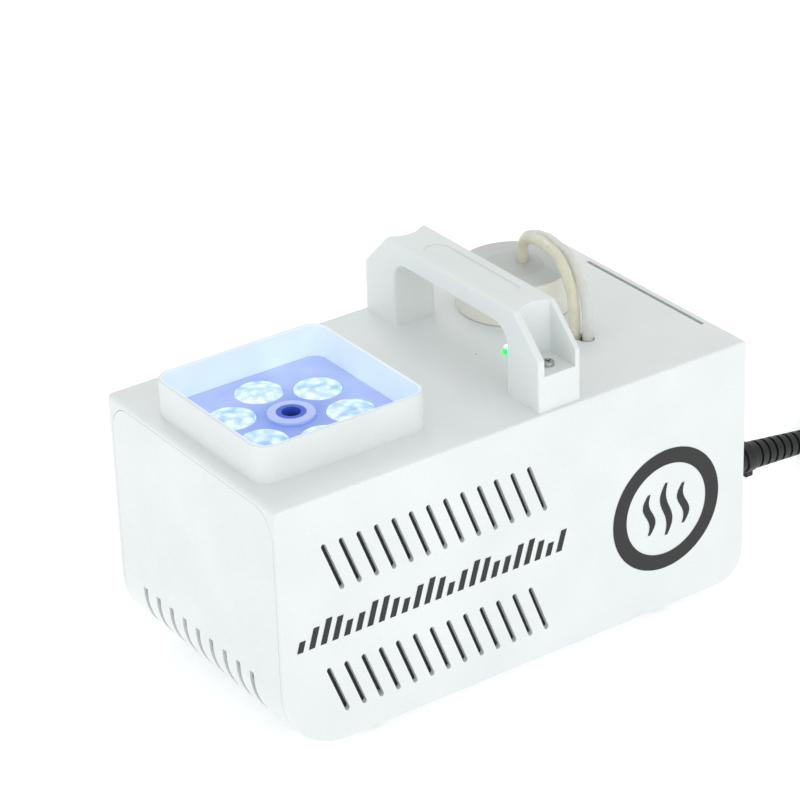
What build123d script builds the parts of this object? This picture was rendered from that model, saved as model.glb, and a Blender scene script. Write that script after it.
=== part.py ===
from build123d import *
import math
import os

# Vertical fog machine with an LED ring, in millimetres.
# +X runs from the LED end to the rear panel, the long vented sides face -Y and +Y, and the floor is z = 0.
# The origin is the middle of the footprint, rear fittings included.

# Housing
housing_length = 244.0
housing_width = 130.0
housing_height = 118.0
cover_wall = 2.5          # the two long sides
top_wall = 2.0
chassis_wall = 1.5
front_bend = 30.0         # lower bend at the LED end
rear_bend = 14.0
top_bend = 2.0
edge_round = 0.8
end_lip = 1.5             # thickness of the narrow lip over each end
lip_drop = 2.6
end_corner = 13.0         # rounded upper corners of the end panels
seam = 0.2                # gap between cover and chassis
foot_height = 3.0
foot_radius = 8.0
foot_inset = 20.0         # from the long side
rear_proud = 8.0          # how far the rear fittings stand out

# Side vents: two rows of slanted slots in each long side
vent_count = 13
vent_pitch = 8.63
vent_length = 25.4
vent_width = 2.3
vent_lean = 20.7          # degrees from upright
vent_first = -95.8        # offset of the first slot's middle from the housing's middle
vent_upper = 87.0
vent_lower = 28.3
screen_thickness = 0.8

# End vents: slots round the front bend
end_vent_count = 9
end_vent_pitch = 10.6
end_vent_y = 2.2
end_vent_width = 3.2
end_vent_top = 34.6
baffle_gap = 5.0          # between the chassis and the baffle behind the end vents
baffle_width = 98.0
baffle_thickness = 0.8
baffle_reach = 31.0       # along the housing from its LED end
baffle_top = 44.0

# Light ring and fog outlet
ring_offset = -73.0
ring_y = -2.9
collar_side = 84.0
collar_height = 17.0
collar_wall = 1.8
collar_corner = 8.5
ring_opening = 36.9
plate_thickness = 2.2
lens_count = 6
lens_circle = 25.0
lens_radius = 10.4
lens_depth = 9.0
lens_rim = 1.2
lens_crown = 0.9
lens_gap = 0.25
board_radius = 36.0
standoff_circle = 31.5
board_thickness = 1.6
chip_radius = 3.0
chip_height = 1.4
boss_radius = 10.4
boss_height = 1.4
outlet_radius = 4.2
outlet_wall = 1.0
outlet_depth = 9.0        # length of the outlet tube below the plate
nozzle_radius = 3.8
nozzle_bore = 1.0
nozzle_sink = 8.0         # nozzle tip below the boss face

# Heater
heater_radius = 20.0
heater_low = 34.0
heater_high = 90.0
lagging = 7.0
element_radius = 4.0
element_offset = 10.0
inlet_offset = -8.0       # heater inlet's place across the heater
fit_gap = 0.05            # radial running clearance of a shaft in its hole
part_gap = 0.3            # between parts that only pass each other

# Pump
pump_offset = 66.8
pump_y = -15.5
pump_low = 24.0
coil_radius = 14.0
return_port_y = -35.0
coil_height = 34.0
piston_radius = 5.0
piston_length = 24.0
piston_stroke = 3.0
core_wall = 1.2
core_height = 50.0

# Tank
tank_offset = 66.3
tank_y = 28.4
tank_length = 74.0
tank_width = 48.0
tank_low = 6.0
tank_high = 101.0
tank_wall = 1.8
tank_corner = 8.0
neck_radius = 22.5
neck_wall = 2.2
neck_clearance = 0.9      # round the neck in the cover
cap_radius = 26.0
cap_top_radius = 25.2
cap_height = 18.0
cap_wall = 2.2
insert_radius = 13.2

# Hoses
hose_radius = 2.5
hose_wall = 1.0
feed_hole = (66.8, -15.5)      # where the feed hose enters the cover
return_hole = (69.0, -20.8)
feed_exit = (71.2, 28.7)       # where it leaves the cap
return_exit = (74.8, 32.7)
hose_hole_width = 6.6
hose_stand = 11.0         # first corner above the cap
feed_peak = 16.0
return_peak = 13.4

# Handle
handle_offset = 21.4
handle_width = 21.8
handle_height = 40.8
handle_reach = 63.5       # half its length
handle_flat = 46.5        # half the flat top's length
handle_shoulder = 24.0
leg_inner = 41.0
beam_thickness = 9.4
inner_round = 9.0
pocket_rib = 2.8
pocket_floor = 16.4
pocket_depth = 17.0
pocket_arc = 3.0          # how far the pocket's back bows inwards
screw_y = 55.0
inset_length = 61.5
inset_width = 11.8
inset_y = -2.0
inset_depth = 0.6

# Top details
lamp_offset = 34.6
lamp_y = -9.6
lamp_radius = 2.5
sensor_offset = 22.4
sensor_y = -2.5
sensor_radius = 0.5
rear_slot_offset = 117.3
rear_slot_length = 82.0
rear_slot_width = 1.8

# Rear panel
switch_y = -14.0
switch_z = 86.0
switch_width = 15.0
switch_height = 21.0
flange_thickness = 2.0
switch_depth = 14.0
rocker_radius = 8.2
rocker_width = 10.6
rocker_tilt = 10.0
trunnion_radius = 1.2
fuse_y = -14.0
fuse_z = 56.0
fuse_radius = 6.3
fuse_depth = 30.0
carrier_radius = 5.2
knob_radius = 7.0

# Mains lead
gland_y = -54.0
gland_z = 55.2
gland_radius = 6.9
gland_hole = 5.6
gland_length = 12.0
relief_tilt = -6.0        # degrees, below level
relief_length = 34.0
relief_radius = 6.4
relief_tip = 5.2
rib_count = 7
cord_radius = 3.5
socket_depth = 6.0
cord_first_run = 32.0
coil_centre = (258.0, -17.0)
coil_inner = 25.5
coil_outer = 46.5
coil_thick = 14.0
plug_radius = 18.0
plug_length = 30.0
plug_sleeve = 27.0
plug_pin_radius = 2.4
plug_pin_length = 19.0
plug_pin_spacing = 19.0

# Screws
screw_radius = 1.5
screw_head = 2.9
screw_head_height = 1.8
screw_clearance = 1.7

housing_mid = -rear_proud / 2
front_x = housing_mid - housing_length / 2
rear_x = housing_mid + housing_length / 2
base_z = foot_height
deck_z = base_z + chassis_wall
top_z = base_z + housing_height
side_y = housing_width / 2
inner_y = side_y - cover_wall
rear_inner = rear_x - chassis_wall
ring_x = housing_mid + ring_offset
plate_top = top_z + plate_thickness
inlet_y = ring_y + inlet_offset
board_top = plate_top - lens_depth - chip_height - lens_gap
pump_x = housing_mid + pump_offset
tank_x = housing_mid + tank_offset
handle_x = housing_mid + handle_offset
cap_low = top_z + part_gap
cap_top = cap_low + cap_height


def span(x0, x1, y0, y1, z0, z1):
    return Pos((x0 + x1) / 2, (y0 + y1) / 2, (z0 + z1) / 2) * Box(x1 - x0, y1 - y0, z1 - z0)


def post(x, y, z0, z1, radius):
    return Pos(x, y, (z0 + z1) / 2) * Cylinder(radius, z1 - z0)


def rod_x(x0, x1, y, z, radius):
    return Pos((x0 + x1) / 2, y, z) * Rot(0, 90, 0) * Cylinder(radius, x1 - x0)


def rod_y(x, y0, y1, z, radius):
    return Pos(x, (y0 + y1) / 2, z) * Rot(90, 0, 0) * Cylinder(radius, y1 - y0)


def group(shapes):
    return Compound(children=list(shapes))


def write(name, shape):
    export_step(shape, f"parts/{name}.step")


def cornered(width, height, low_left, low_right, high_right, high_left):
    # A rectangle with its own radius at each corner.
    shape = Rectangle(width, height)
    corners = ((-1, -1, low_left), (1, -1, low_right), (1, 1, high_right), (-1, 1, high_left))
    for side, level, radius in corners:
        if radius > 0:
            place = (side * width / 2, level * height / 2, 0)
            shape = fillet(shape.vertices().sort_by_distance(place)[0], radius)
    return shape


def side_profile(inset, low, high, half_width):
    # The housing's outline seen from the side, drawn in by the inset and carried across the width.
    length = housing_length - 2 * inset
    upper = max(top_bend - inset, 0)
    outline = cornered(length, high - low, front_bend - inset, rear_bend - inset, upper, upper)
    return extrude(Plane.XZ * Pos(housing_mid, (low + high) / 2) * outline, half_width, both=True)


def end_tunnel(half_width, height_top, corner, x0, x1):
    # A straight passage along X with rounded upper corners.
    low = -1.0
    outline = cornered(2 * half_width, height_top - low, 0, 0, corner, corner)
    face = Plane.YZ.offset(x0) * Pos(0, (height_top + low) / 2) * outline
    return extrude(face, x1 - x0)


def pattern_x(count, pitch, first):
    return [first + index * pitch for index in range(count)]


def side_vents():
    cutters = []
    for row in (vent_upper, vent_lower):
        for offset in pattern_x(vent_count, vent_pitch, vent_first):
            slot = Rot(0, 0, vent_lean - 90) * SlotOverall(vent_length, vent_width)
            face = Plane.XZ * Pos(housing_mid + offset, row) * slot
            cutters.append(extrude(face, side_y + 1, both=True))
    return cutters


def hose_opening():
    # One long hole takes both hoses side by side.
    apart = math.dist(feed_hole, return_hole)
    turn = math.degrees(math.atan2(return_hole[1] - feed_hole[1], return_hole[0] - feed_hole[0]))
    middle = [(a + b) / 2 for a, b in zip(feed_hole, return_hole)]
    slot = Rot(0, 0, turn) * SlotOverall(apart + hose_hole_width, hose_hole_width)
    face = Pos(housing_mid + middle[0], middle[1], top_z - top_wall - 1) * slot
    return extrude(face, top_wall + 2)


def boss_places():
    reach = housing_length / 2 - 46.0
    inset = inner_y - 4.0
    return [(housing_mid + sx * reach, sy * inset) for sx in (-1, 1) for sy in (-1, 1)]


def cover():
    body = side_profile(0, base_z, top_z, side_y)
    outlines = body.faces().sort_by(Axis.Y)[0].edges() + body.faces().sort_by(Axis.Y)[-1].edges()
    body = fillet(outlines, edge_round)
    roof = top_z - top_wall
    cavity = cornered(housing_length - 2 * end_lip, roof + 1, 0, 0,
                      top_bend - top_wall, top_bend - top_wall)
    cavity = extrude(Plane.XZ * Pos(housing_mid, (roof - 1) / 2) * cavity, inner_y, both=True)
    body -= cavity
    body -= end_tunnel(inner_y, top_z - lip_drop, end_corner, front_x - 1, rear_x + 1)
    for x, y in boss_places():
        outward = math.copysign(inner_y, y)
        y0, y1 = sorted((outward, y - math.copysign(4.0, y)))
        body += span(x - 4, x + 4, y0, y1, deck_z + seam, deck_z + 13)
        body -= post(x, y, deck_z, deck_z + 10, screw_radius - 0.2)
    for cutter in side_vents():
        body -= cutter
    body -= post(ring_x, ring_y, roof - 1, top_z + 1, ring_opening)
    body -= post(tank_x, tank_y, roof - 1, top_z + 1, neck_radius + neck_clearance)
    body -= hose_opening()
    body -= post(housing_mid + lamp_offset, lamp_y, roof - 1, top_z + 1, lamp_radius + 0.1)
    body -= post(housing_mid + sensor_offset, sensor_y, roof - 1, top_z + 1, sensor_radius)
    slot_x = housing_mid + rear_slot_offset
    body -= span(slot_x - rear_slot_width / 2, slot_x + rear_slot_width / 2,
                 -rear_slot_length / 2, rear_slot_length / 2, roof - 1, top_z + 1)
    for side in (-1, 1):
        body -= post(handle_x, side * screw_y, roof - 1, top_z + 1, screw_radius + 0.1)
    return body


def foot_places():
    front = front_x + front_bend + foot_radius + 4.0
    rear = rear_x - rear_bend - foot_radius - 4.0
    inset = side_y - foot_inset
    return [(x, sy * inset) for x in (front, rear) for sy in (-1, 1)]


def chassis():
    wall_top = top_z - lip_drop - seam
    half = inner_y - seam
    outer = cornered(housing_length, wall_top - base_z, front_bend, rear_bend, 0, 0)
    inner = cornered(housing_length - 2 * chassis_wall, wall_top - base_z, front_bend - chassis_wall,
                     rear_bend - chassis_wall, 0, 0)
    middle = (base_z + wall_top) / 2
    body = extrude(Plane.XZ * Pos(housing_mid, middle) * outer, half, both=True)
    body -= extrude(Plane.XZ * Pos(housing_mid, middle + chassis_wall) * inner, half + 1, both=True)
    body = body & end_tunnel(half, wall_top, end_corner - seam, front_x - 1, rear_x + 1)
    reach = (end_vent_count - 1) / 2 * end_vent_pitch
    for y in pattern_x(end_vent_count, end_vent_pitch, end_vent_y - reach):
        body -= span(front_x - 1, front_x + front_bend, y - end_vent_width / 2, y + end_vent_width / 2,
                     base_z - 1, end_vent_top)
    for x, y in boss_places():
        body -= post(x, y, base_z - 1, deck_z + 1, screw_clearance)
    body -= span(rear_inner - 1, rear_x + 1, switch_y - switch_width / 2 + 1, switch_y + switch_width / 2 - 1,
                 switch_z - switch_height / 2 + 1, switch_z + switch_height / 2 - 1)
    body -= rod_x(rear_inner - 1, rear_x + 1, fuse_y, fuse_z, fuse_radius + 0.1)
    body -= rod_x(rear_inner - 1, rear_x + 1, gland_y, gland_z, gland_hole + 0.1)
    return body


def foot(x, y):
    pad = post(x, y, 0, base_z, foot_radius)
    pad = fillet(pad.edges().sort_by(Axis.Z)[0], 0.8)
    return pad - post(x, y, -1, 1.2, 3.0)


def pan_screw(x, y, seat, direction, length):
    # A pan-head screw whose head sits on the seat; direction +1 puts the head above it.
    head = post(x, y, *sorted((seat, seat + direction * screw_head_height)), screw_head)
    rim = head.edges().sort_by(Axis.Z)[-1 if direction > 0 else 0]
    head = fillet(rim, 0.7)
    shank = post(x, y, *sorted((seat, seat - direction * length)), screw_radius - 0.25)
    top = seat + direction * screw_head_height
    depth = direction * 1.0
    slots = [span(x - a, x + a, y - b, y + b, *sorted((top, top - depth)))
             for a, b in ((1.6, 0.3), (0.3, 1.6))]
    return head + shank - slots[0] - slots[1]


def vent_screen(side):
    # A thin black mesh sheet behind the vents of one long side.
    x0 = housing_mid + vent_first - 8.0
    x1 = housing_mid + vent_first + (vent_count - 1) * vent_pitch + 8.0
    z0 = vent_lower - vent_length / 2 - 0.5
    z1 = vent_upper + vent_length / 2 + 2.0
    y0, y1 = sorted((side * inner_y, side * (inner_y - screen_thickness)))
    sheet = span(x0, x1, y0, y1, z0, z1)
    for x, y in boss_places():
        sheet -= span(x - 5, x + 5, -side_y, side_y, 0, deck_z + 14)
    return sheet


def end_baffle():
    # A bent white sheet behind the end vents, standing on the chassis.
    inset = chassis_wall + baffle_gap
    high = top_z - top_wall
    half = baffle_width / 2
    sheet = side_profile(inset, base_z + inset, high, half)
    sheet -= side_profile(inset + baffle_thickness, base_z + inset + baffle_thickness, high + 1, half + 1)
    x1 = front_x + baffle_reach
    sheet = sheet & span(front_x, x1, -half, half, 0, baffle_top)
    return sheet + span(x1 - 1, x1, -half, half, deck_z, base_z + inset + baffle_thickness)


def handle():
    # A bridge over the width: a trapezium outline with an opening for the fingers.
    outline = Polyline((-handle_reach, 0), (-handle_reach, handle_shoulder), (-handle_flat, handle_height),
                       (handle_flat, handle_height), (handle_reach, handle_shoulder), (handle_reach, 0),
                       close=True)
    face = make_face(outline)
    gap_height = handle_height - beam_thickness
    gap = cornered(2 * leg_inner, gap_height + 2, 0, 0, inner_round, inner_round)
    face = face - Pos(0, gap_height / 2 - 1) * gap
    body = extrude(Plane.YZ.offset(handle_x - handle_width / 2) * Pos(0, top_z) * face, handle_width)
    rims = body.edges().filter_by(lambda e: e.center().Z > top_z + 0.5 and abs(e.center().X - handle_x) > 1)
    body = fillet(rims, 1.2)
    ends = [e for e in body.edges().filter_by(Axis.X) if e.center().Z > top_z + 10 and abs(e.center().Y) > leg_inner + 1]
    body = fillet(ends, 1.2) if ends else body
    half = handle_width / 2 - pocket_rib
    for side in (-1, 1):
        corner = side * (handle_reach - pocket_depth)
        outer = side * (handle_reach + 1)
        back = ThreePointArc((-half, corner), (0, corner - side * pocket_arc), (half, corner))
        sides = Polyline((half, corner), (half, outer), (-half, outer), (-half, corner))
        cutter = extrude(Pos(handle_x, 0, top_z + pocket_floor) * make_face([back, sides]), handle_height)
        body -= cutter
        body -= post(handle_x, side * screw_y, top_z - 1, top_z + pocket_floor + 1, screw_clearance)
    inset = Pos(handle_x, inset_y, top_z + handle_height - inset_depth) * Rot(0, 0, 90)
    body -= extrude(inset * SlotOverall(inset_length, inset_width), inset_depth + 1)
    return body


def led_collar():
    side = collar_side
    outer = cornered(side, side, *[collar_corner] * 4)
    inner = cornered(side - 2 * collar_wall, side - 2 * collar_wall, *[collar_corner - collar_wall] * 4)
    body = extrude(Pos(ring_x, ring_y, top_z) * (outer - inner), collar_height)
    rim = body.faces().sort_by(Axis.Z)[-1].edges()
    return fillet(rim, 0.5)


def lens_places():
    angles = [math.radians(30 + index * 360 / lens_count) for index in range(lens_count)]
    return [(ring_x + lens_circle * math.cos(a), ring_y + lens_circle * math.sin(a)) for a in angles]


def led_plate():
    side = collar_side - 2 * collar_wall - 2 * 0.15
    body = extrude(Pos(ring_x, ring_y, top_z) * cornered(side, side, *[collar_corner - collar_wall] * 4), plate_thickness)
    for x, y in lens_places():
        body -= post(x, y, top_z - 1, plate_top + 1, lens_radius + lens_gap)
    body -= post(ring_x, ring_y, top_z - 1, plate_top + 1, outlet_radius + outlet_wall)
    return body


def lens(x, y):
    # A cone that gathers the light, under a shallow crowned front.
    low = plate_top - lens_depth
    peak = plate_top + lens_crown
    outline = Polyline((0, low), (chip_radius + 0.6, low), (lens_radius - 0.6, plate_top - lens_rim),
                       (lens_radius, plate_top - lens_rim), (lens_radius, peak), (0, peak), close=True)
    ball = (lens_radius ** 2 + lens_crown ** 2) / (2 * lens_crown)
    body = revolve(Plane.XZ * make_face(outline), Axis.Z) & Pos(0, 0, peak - ball) * Sphere(ball)
    return Pos(x, y, 0) * body


def led_board():
    body = post(ring_x, ring_y, board_top - board_thickness, board_top, board_radius)
    return body - post(ring_x, ring_y, board_top - 5, board_top + 1, nozzle_radius + 3)


def standoff_places():
    angles = [math.radians(120 * index) for index in range(3)]
    return [(ring_x + standoff_circle * math.cos(a), ring_y + standoff_circle * math.sin(a)) for a in angles]


def nozzle_ring():
    ring = post(ring_x, ring_y, plate_top, plate_top + boss_height, boss_radius)
    ring = fillet(ring.edges().sort_by(Axis.Z)[-1], 0.7)
    ring += post(ring_x, ring_y, plate_top - outlet_depth, plate_top, outlet_radius + outlet_wall)
    return ring - post(ring_x, ring_y, plate_top - outlet_depth - 1, plate_top + boss_height + 1, outlet_radius)


def nozzle():
    tip = plate_top + boss_height - nozzle_sink
    body = post(ring_x, ring_y, heater_high, tip, nozzle_radius)
    body = chamfer(body.edges().sort_by(Axis.Z)[-1], 0.8)
    body += post(ring_x, ring_y, heater_high, heater_high + 6, nozzle_radius + 2.5)
    return body - post(ring_x, ring_y, heater_high - 1, tip + 1, nozzle_bore)


def heater_block():
    body = post(ring_x, ring_y, heater_low, heater_high, heater_radius)
    body -= post(ring_x, ring_y + element_offset, heater_low - 1, heater_high - 6, element_radius + fit_gap)
    body -= rod_x(ring_x, ring_x + heater_radius + 1, inlet_y, heater_low + 8, 2.0)
    body -= post(ring_x, inlet_y, heater_low + 8, heater_high - 4, 2.0)
    return body


def heater_element():
    body = post(ring_x, ring_y + element_offset, heater_low - 8, heater_high - 8, element_radius)
    return body


def heater_insulation():
    inner = heater_radius + part_gap
    body = post(ring_x, ring_y, heater_low, heater_high, inner + lagging)
    body -= post(ring_x, ring_y, heater_low - 1, heater_high + 1, inner)
    body -= rod_x(ring_x, ring_x + inner + lagging + 1, inlet_y, heater_low + 8, 4.2)
    return body


def heater_bracket():
    # A bent sheet stand under the heater.
    plate_z = heater_low - 2.0
    body = span(ring_x - 16, ring_x + 16, ring_y - 24, ring_y + 24, plate_z, heater_low)
    for side in (-1, 1):
        y0, y1 = sorted((ring_y + side * 22.5, ring_y + side * 24))
        body += span(ring_x - 16, ring_x + 16, y0, y1, deck_z, heater_low)
        y0, y1 = sorted((ring_y + side * 22.5, ring_y + side * 34))
        body += span(ring_x - 16, ring_x + 16, y0, y1, deck_z, deck_z + 1.5)
    body -= post(ring_x, ring_y + element_offset, plate_z - 1, heater_low + 1, element_radius + 1)
    return body


def heater_inlet():
    x0 = ring_x + heater_radius
    z = heater_low + 8
    body = rod_x(x0, x0 + 9, inlet_y, z, 4.0)
    body += rod_x(x0 + 9, x0 + 20, inlet_y, z, hose_radius - hose_wall - fit_gap)
    return body - rod_x(x0 - 1, x0 + 21, inlet_y, z, 0.7)


def thermostat():
    body = post(ring_x - 12, ring_y + 6, heater_high, heater_high + 5, 6.0)
    body += post(ring_x - 12, ring_y + 6, heater_high + 5, heater_high + 8, 4.0)
    return body


def thermal_fuse():
    return rod_y(ring_x - heater_radius * 0.5, ring_y - 13, ring_y - 1, heater_high + 2.0, 2.0)


def pump_coil():
    body = post(pump_x, pump_y, pump_low + 8, pump_low + 8 + coil_height, coil_radius)
    return body - post(pump_x, pump_y, pump_low, pump_low + 60, piston_radius + fit_gap + core_wall + 0.1)


def pump_core():
    # The sealed tube in which the piston slides, with a hose barb on top.
    inner = piston_radius + fit_gap
    low = pump_low
    body = post(pump_x, pump_y, low, low + core_height, inner + core_wall)
    body -= post(pump_x, pump_y, low + 3, low + core_height - 3, inner)
    body += post(pump_x, pump_y, low + core_height, low + core_height + 12, hose_radius - hose_wall - fit_gap)
    body -= post(pump_x, pump_y, low + core_height - 4, low + core_height + 13, 0.8)
    body -= post(pump_x, pump_y, low - 1, low + 4, 0.8)
    return body


def pump_yoke():
    # A steel frame round three sides of the winding.
    z0 = pump_low + 8
    z1 = z0 + coil_height
    hole = piston_radius + fit_gap + core_wall + 0.1
    back = pump_y - coil_radius - part_gap - 1.5
    body = span(pump_x - 12, pump_x + 12, back, pump_y + coil_radius, z0 - 1.8, z1 + 1.8)
    body -= span(pump_x - 13, pump_x + 13, pump_y - coil_radius - part_gap, pump_y + coil_radius + 1,
                 z0 - part_gap, z1 + part_gap)
    return body - post(pump_x, pump_y, z0 - 5, z1 + 5, hole)


def pump_piston():
    low = pump_low + 3 + part_gap
    body = post(pump_x, pump_y, low, low + piston_length, piston_radius)
    body -= post(pump_x, pump_y, low - 1, low + piston_length + 1, 1.0)
    return chamfer(body.edges().filter_by(GeomType.CIRCLE).sort_by(Axis.Z)[-1], 0.3)


def pump_spring():
    low = pump_low + 3 + piston_length + 2 * part_gap
    high = pump_low + core_height - 3 - part_gap
    turns = 6
    wire = 0.45
    path = Helix((high - low - 2 * wire) / turns, high - low - 2 * wire, 3.2)
    section = Plane(path @ 0, z_dir=path % 0) * Circle(wire)
    return Pos(pump_x, pump_y, low + wire) * sweep(section, path=path, is_frenet=True)


def pump_head():
    # The valve block under the pump, with ports for the heater hose and the return hose.
    z0 = pump_low - 12
    body = span(pump_x - 10, pump_x + 10, return_port_y - 4.5, pump_y + 10, z0, pump_low)
    barb = hose_radius - hose_wall - fit_gap
    body += rod_x(pump_x - 22, pump_x - 10, pump_y, z0 + 6, barb)
    body += post(housing_mid + return_hole[0], return_port_y, pump_low, pump_low + 10, barb)
    body -= rod_x(pump_x - 23, pump_x, pump_y, z0 + 6, 0.7)
    return body


def pump_bracket():
    z0 = pump_low - 12
    body = span(pump_x - 14, pump_x + 14, return_port_y - 7, pump_y + 12, deck_z, deck_z + 1.5)
    body += span(pump_x - 10, pump_x + 10, return_port_y - 4.5, pump_y + 10, deck_z + 1.5, z0)
    return body


def tank():
    outline = cornered(tank_length, tank_width, *[tank_corner] * 4)
    body = extrude(Pos(tank_x, tank_y, tank_low) * outline, tank_high - tank_low)
    body = fillet(body.faces().sort_by(Axis.Z)[0].edges() + body.faces().sort_by(Axis.Z)[-1].edges(), 5.0)
    hollow = cornered(tank_length - 2 * tank_wall, tank_width - 2 * tank_wall, *[tank_corner - tank_wall] * 4)
    room = extrude(Pos(tank_x, tank_y, tank_low + tank_wall) * hollow, tank_high - tank_low - 2 * tank_wall)
    room = fillet(room.faces().sort_by(Axis.Z)[0].edges() + room.faces().sort_by(Axis.Z)[-1].edges(), 3.0)
    body += post(tank_x, tank_y, tank_high - 2, neck_top(), neck_radius)
    body -= room
    return body - post(tank_x, tank_y, tank_high - 6, neck_top() + 1, neck_radius - neck_wall)


def neck_top():
    return cap_top - cap_wall - 1.5 - 3 * part_gap - 1.2


def tank_strap():
    # A bent strap from floor to floor over the tank's shoulder.
    gap = part_gap
    y0 = tank_y - tank_width / 2 - gap
    y1 = tank_y + tank_width / 2 + gap
    x0, x1 = tank_x - 35, tank_x - 27
    z1 = tank_high + gap
    body = span(x0, x1, y0 - 1.2, y1 + 1.2, deck_z, z1 + 1.2)
    body -= span(x0 - 1, x1 + 1, y0, y1, deck_z - 1, z1)
    body += span(x0, x1, y0 - 11, y0, deck_z, deck_z + 1.2)
    return body


def tank_cap():
    outer_low = cap_radius
    body = Pos(tank_x, tank_y, cap_low) * revolve(Plane.XZ * make_face(
        Polyline((0, 0), (outer_low, 0), (cap_top_radius, cap_height), (0, cap_height), close=True)), Axis.Z)
    edge = body.edges().filter_by(GeomType.CIRCLE).sort_by(Axis.Z)[-1]
    body = fillet(edge, 1.2)
    bore = neck_radius + part_gap
    body -= post(tank_x, tank_y, cap_low - 1, cap_top - cap_wall - 1.4, bore)
    body -= post(tank_x, tank_y, cap_low, cap_top - cap_wall, insert_radius + 2.5)
    return body - post(tank_x, tank_y, cap_low, cap_top + 1, insert_radius + fit_gap)


def cap_insert():
    # The middle of the cap stays still while the cap turns round it, so the hoses don't twist.
    body = post(tank_x, tank_y, cap_top - cap_wall - 1.6, cap_top, insert_radius)
    body += post(tank_x, tank_y, cap_top - cap_wall - 1.6, cap_top - cap_wall - 0.1, insert_radius + 2.2)
    for offset, y in (feed_exit, return_exit):
        body -= post(housing_mid + offset, y, cap_top - 9, cap_top + 1, hose_radius + fit_gap)
    return body


def cap_liner():
    high = cap_top - cap_wall - 1.5
    body = post(tank_x, tank_y, high - 1.2, high - 0.1, neck_radius - 0.3)
    return body - post(tank_x, tank_y, high - 5, high + 5, insert_radius + 4.0)


def hose(points, radii, radius=hose_radius, wall=hose_wall):
    path = FilletPolyline(*points, radius=radii)
    start = Plane(origin=path @ 0, z_dir=path % 0)
    outer = sweep(start * Circle(radius), path=path)
    inner = sweep(start * Circle(radius - wall), path=path)
    return outer - inner


def arc_radii(points):
    # Each bend is as large as its two runs allow.
    radii = []
    for before, here, after in zip(points, points[1:], points[2:]):
        into = Vector(here) - Vector(before)
        out = Vector(after) - Vector(here)
        turn = math.radians(into.get_angle(out))
        radii.append(0.45 * min(into.length, out.length) / math.tan(turn / 2))
    return radii


def feed_route():
    x0, y0 = housing_mid + feed_exit[0], feed_exit[1]
    x1, y1 = housing_mid + feed_hole[0], feed_hole[1]
    peak = cap_top + feed_peak
    return [(x0, y0, tank_low + 16), (x0, y0, cap_top + hose_stand), (x0 - 1, y0 - 12.5, peak),
            (x1 + 1.5, y1 + 12.5, peak - 1.5), (x1 + 0.3, y1 + 1.6, cap_top), (x1, y1, top_z - 14),
            (x1, y1, pump_low + core_height + 1)]


def return_route():
    x0, y0 = housing_mid + return_exit[0], return_exit[1]
    x1, y1 = housing_mid + return_hole[0], return_hole[1]
    peak = cap_top + return_peak
    return [(x0, y0, tank_high - 30), (x0, y0, cap_top + hose_stand - 0.5), (x0 + 3.0, y0 - 13, peak),
            (x1 + 5.6, y1 + 17, peak - 1.2), (x1 + 1.2, y1 + 1.2, cap_top - 1), (x1, y1 - 0.6, top_z - 14),
            (x1, return_port_y, pump_low + 52), (x1, return_port_y, pump_low + 1)]


def heater_hose_route():
    x0 = pump_x - 11
    z0 = pump_low - 6
    x1 = ring_x + heater_radius + 10
    z1 = heater_low + 8
    return [(x0, pump_y, z0), (x0 - 30, pump_y, z0), (x1 + 30, inlet_y, z1), (x1, inlet_y, z1)]


def tank_filter():
    x, y = housing_mid + feed_exit[0], feed_exit[1]
    z0 = tank_low + tank_wall + 1.0
    body = post(x, y, z0, z0 + 22, 5.0)
    body = fillet(body.edges().sort_by(Axis.Z)[0], 1.0)
    return body - post(x, y, tank_low + 16, z0 + 23, hose_radius + fit_gap)


def control_board():
    return span(housing_mid - 34, housing_mid + 36, -60, -22, deck_z + 8, deck_z + 9.6)


def board_parts():
    # Relay, capacitors, transformer and terminal block on the control board.
    z = deck_z + 9.6
    x = housing_mid
    relay = span(x - 30, x - 12, -56, -40, z, z + 15)
    transformer = span(x - 4, x + 20, -56, -34, z, z + 18)
    terminals = span(x + 24, x + 33, -58, -28, z, z + 10)
    capacitors = [post(x - 26 + step * 10, -30, z, z + 13, 4) for step in range(3)]
    return group([relay, transformer, terminals, *capacitors])


def board_standoffs():
    places = [(housing_mid - 31, -25), (housing_mid + 20, -25), (housing_mid - 20, -58), (housing_mid + 20, -58)]
    return group([post(x, y, deck_z, deck_z + 8, 2.5) for x, y in places])


def led_driver():
    body = span(housing_mid - 30, housing_mid + 16, 14, 50, deck_z, deck_z + 24)
    return fillet(body.edges().filter_by(Axis.Z), 2.0)


def switch_body():
    half_w, half_h = switch_width / 2, switch_height / 2
    flange = span(rear_x, rear_x + flange_thickness, switch_y - half_w, switch_y + half_w,
                  switch_z - half_h, switch_z + half_h)
    flange = fillet(flange.faces().sort_by(Axis.X)[-1].edges(), 0.6)
    body = flange + span(rear_x - switch_depth, rear_x + 0.5, switch_y - half_w + 1.2, switch_y + half_w - 1.2,
                         switch_z - half_h + 1.2, switch_z + half_h - 1.2)
    gap = 0.35
    body -= span(rear_x - 9, rear_x + 5, switch_y - rocker_width / 2 - gap, switch_y + rocker_width / 2 + gap,
                 switch_z - rocker_radius - gap, switch_z + rocker_radius + gap)
    pin = trunnion_radius + fit_gap
    return body - rod_y(rear_x, switch_y - rocker_width / 2 - 1.1, switch_y + rocker_width / 2 + 1.1, switch_z, pin)


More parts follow.
